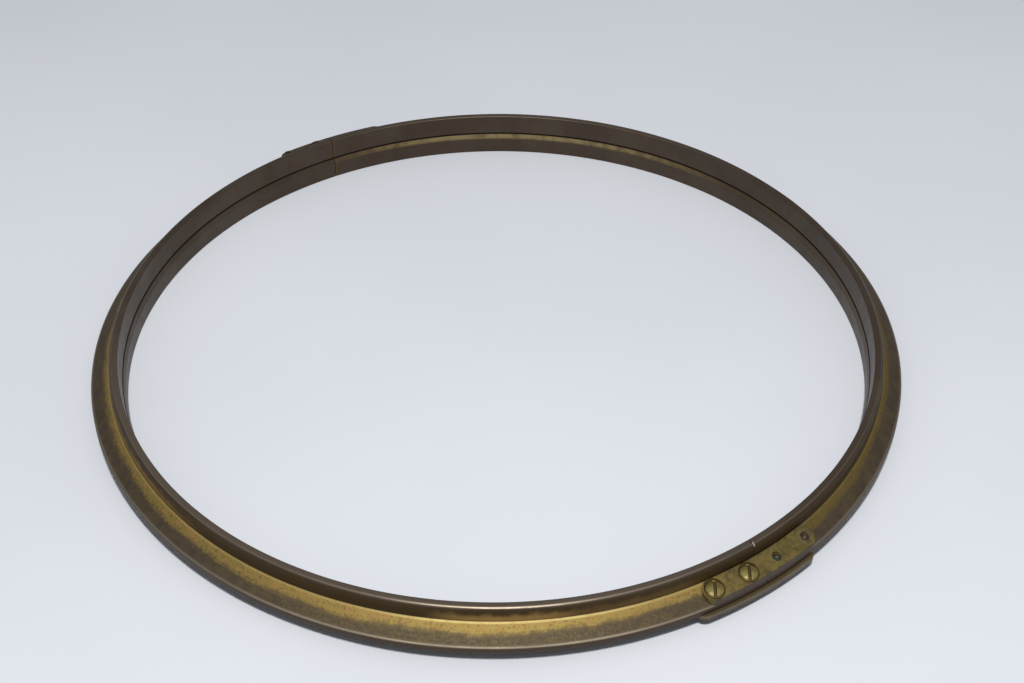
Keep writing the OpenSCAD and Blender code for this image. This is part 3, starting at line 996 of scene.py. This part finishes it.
left_start, left_end = REAR_JOINT_A, FRONT_JOINT_A
right_start, right_end = FRONT_JOINT_A, REAR_JOINT_A + 360
left = half_ring("left_half_ring_bronze", left_start, left_end)
settle(left, "left_half_ring", "ring", ring_bronze("left_patina", 0.0, 0.10))
right = half_ring("right_half_ring_bronze", right_start, right_end)
settle(right, "right_half_ring", "ring", ring_bronze("right_patina", 1.0, 0.62))

plate_finish = plate_brass("plate_tarnish")
strap_finish = strap_bronze("strap_patina")
screw_finishes = {"front": screw_brass("screw_rubbed_brass", 0.0),
                  "rear": screw_brass("screw_dull_brass", 0.85)}
flush_finish = rivet_brass("flush_rivet_tarnish", **FLUSH_RIVET)
sunk_finish = rivet_brass("sunk_rivet_tarnish", **SUNK_RIVET)
for end in SPLICE_A:
    settle(splice_plate(end), end + "_splice_plate", "ring", plate_finish)
    settle(backing_strap(end), end + "_backing_strap", "ring", strap_finish)
    for angle, kind in joint_fasteners(end):
        node = end + "_" + kind
        if kind.endswith("screw"):
            settle(screw(node, angle), node, node, screw_finishes[end])
        elif kind == "end_rivet":
            settle(end_rivet(node, angle), node, "ring", flush_finish)
        else:
            settle(inner_rivet(node, angle), node, "ring", sunk_finish)


# ---------------------------------------------------------------- floor, light and camera

FLOOR_HALF = 6.0


def pale_floor():
    """Wide matt floor that the ring stands on."""
    shell = bmesh.new()
    bmesh.ops.create_grid(shell, x_segments=2, y_segments=2, size=FLOOR_HALF)
    data = bpy.data.meshes.new("floor")
    shell.to_mesh(data)
    shell.free()
    floor = new_object("floor", data)
    n = Finish("pale_floor")
    xyz = n.add("TexCoord", {}, "Object")
    cloud = n.noise(xyz, 3.0, 3.0)
    grain = n.noise(xyz, 900.0, 2.0)
    colour = n.mix(n.step(cloud, 0.3, 0.7), PAPER_GREY, PAPER_WHITE)
    data.materials.append(n.finish(colour, 0.0, 0.75, grain, 0.02 * MM, 0.3))


def area_light(name, size, power, place, aim, colour):
    data = bpy.data.lights.new(name, "AREA")
    data.shape = "DISK"
    data.size = size
    data.energy = power
    data.color = colour
    lamp = bpy.data.objects.new(name, data)
    bpy.context.scene.collection.objects.link(lamp)
    lamp.location = place
    lamp.rotation_mode = "QUATERNION"
    lamp.rotation_quaternion = (Vector(aim) - Vector(place)).to_track_quat("-Z", "Y")


KEY_SIZE = 0.20
KEY_POWER = 23.5
KEY_PLACE = (0.02, -0.86, 1.62)
KEY_COLOUR = (1.0, 0.99, 0.98)
ROOM_COLOUR = (0.93, 0.96, 1.0, 1)
# The room's brightness rises with the upward part of a direction, between these limits
ROOM_RISE = {"From Min": -0.05, "From Max": 0.75, "To Min": 0.10, "To Max": 0.34}


def room():
    """Dim pale room, darker low down than overhead."""
    world = bpy.data.worlds.new("room")
    world.use_nodes = True
    nodes = world.node_tree.nodes
    links = world.node_tree.links
    direction = nodes.new("ShaderNodeTexCoord")
    parts = nodes.new("ShaderNodeSeparateXYZ")
    links.new(direction.outputs["Generated"], parts.inputs[0])
    rise = nodes.new("ShaderNodeMapRange")
    rise.interpolation_type = "SMOOTHSTEP"
    for socket, value in ROOM_RISE.items():
        rise.inputs[socket].default_value = value
    links.new(parts.outputs["Z"], rise.inputs["Value"])
    background = nodes["Background"]
    background.inputs["Color"].default_value = ROOM_COLOUR
    links.new(rise.outputs["Result"], background.inputs["Strength"])
    bpy.context.scene.world = world


def studio():
    """Compact soft light high on the camera's side, in the room."""
    area_light("key", KEY_SIZE, KEY_POWER, KEY_PLACE, (0, 0, 0), KEY_COLOUR)
    room()
    bpy.context.scene.view_settings.view_transform = "Standard"


# Camera: metres from the ring's origin, angles in radians, lens in millimetres
CAMERA_DISTANCE = 0.8957
CAMERA_ELEVATION = 0.7031
CAMERA_YAW = -0.00897
CAMERA_PITCH = 0.0068
CAMERA_ROLL = 0.0086
CAMERA_LENS = 59.77


def camera():
    """Looks along +Y and down at the ring, a little off its axis."""
    data = bpy.data.cameras.new("camera")
    data.sensor_width = 36
    data.lens = CAMERA_LENS
    data.clip_start = 0.01
    eye = bpy.data.objects.new("camera", data)
    bpy.context.scene.collection.objects.link(eye)
    place = Vector((0, -math.cos(CAMERA_ELEVATION), math.sin(CAMERA_ELEVATION)))
    eye.location = place * CAMERA_DISTANCE
    eye.rotation_mode = "QUATERNION"
    aim = (-place).to_track_quat("-Z", "Y")
    yaw = Quaternion((0, 1, 0), CAMERA_YAW)
    pitch = Quaternion((1, 0, 0), CAMERA_PITCH)
    roll = Quaternion((0, 0, -1), CAMERA_ROLL)
    eye.rotation_quaternion = aim @ yaw @ pitch @ roll
    bpy.context.scene.camera = eye


pale_floor()
studio()
camera()
